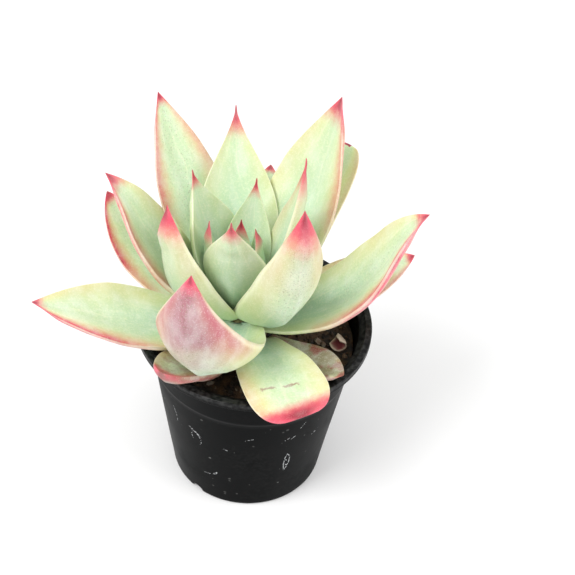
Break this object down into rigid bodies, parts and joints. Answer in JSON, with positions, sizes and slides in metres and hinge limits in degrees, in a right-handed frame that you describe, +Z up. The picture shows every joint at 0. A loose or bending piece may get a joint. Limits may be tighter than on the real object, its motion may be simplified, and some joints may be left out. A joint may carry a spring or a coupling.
{
  "type": "potted succulent",
  "caption": "Rosette succulent with fleshy pointed leaves, growing from potting mix in a small tapered round nursery pot.",
  "frame": {"origin": "on the pot's axis, in the plane of its flat underside", "axes": "+Z up along the pot's axis; -Y towards the side where one short leaf hangs over the rim; +X to the right seen from that side"},
  "size_m": [0.1343, 0.1111, 0.1586],
  "materials": {
    "pot_plastic": "satin",
    "potting_mix": "matte",
    "stem_bark": "matte",
    "bract_paper": "matte",
    "leaf_bud_centre_skin": "satin",
    "leaf_bud_right_skin": "satin",
    "leaf_bud_left_skin": "satin",
    "leaf_inner_front_skin": "satin",
    "leaf_inner_back_skin": "satin",
    "leaf_inner_left_skin": "satin",
    "leaf_inner_right_skin": "satin",
    "leaf_front_right_skin": "satin",
    "leaf_outer_back_skin": "satin",
    "leaf_middle_left_skin": "satin",
    "leaf_outer_back_right_skin": "satin",
    "leaf_outer_back_left_skin": "satin",
    "leaf_front_left_skin": "satin",
    "leaf_outer_left_skin": "satin",
    "leaf_outer_right_skin": "satin",
    "leaf_lower_left_skin": "satin",
    "leaf_lower_back_right_skin": "satin",
    "leaf_lower_back_skin": "satin",
    "leaf_lower_back_left_skin": "satin",
    "leaf_lower_right_skin": "satin",
    "leaf_far_left_skin": "satin",
    "leaf_hanging_front_skin": "satin",
    "leaf_short_front_left_skin": "satin",
    "leaf_aged_front_right_skin": "satin",
    "leaf_aged_back_skin": "satin"
  },
  "bodies": {
    "root": {"pot": "pot_plastic", "soil": "potting_mix", "stem": "stem_bark", "dried_bract": "bract_paper", "leaf_bud_centre": "leaf_bud_centre_skin", "leaf_bud_right": "leaf_bud_right_skin", "leaf_bud_left": "leaf_bud_left_skin", "leaf_inner_front": "leaf_inner_front_skin", "leaf_inner_back": "leaf_inner_back_skin", "leaf_inner_left": "leaf_inner_left_skin", "leaf_inner_right": "leaf_inner_right_skin", "leaf_front_right": "leaf_front_right_skin", "leaf_outer_back": "leaf_outer_back_skin", "leaf_middle_left": "leaf_middle_left_skin", "leaf_outer_back_right": "leaf_outer_back_right_skin", "leaf_outer_back_left": "leaf_outer_back_left_skin", "leaf_front_left": "leaf_front_left_skin", "leaf_outer_left": "leaf_outer_left_skin", "leaf_outer_right": "leaf_outer_right_skin", "leaf_lower_left": "leaf_lower_left_skin", "leaf_lower_back_right": "leaf_lower_back_right_skin", "leaf_lower_back": "leaf_lower_back_skin", "leaf_lower_back_left": "leaf_lower_back_left_skin", "leaf_lower_right": "leaf_lower_right_skin", "leaf_far_left": "leaf_far_left_skin", "leaf_hanging_front": "leaf_hanging_front_skin", "leaf_short_front_left": "leaf_short_front_left_skin", "leaf_aged_front_right": "leaf_aged_front_right_skin", "leaf_aged_back": "leaf_aged_back_skin"}
  },
  "joints": []
}
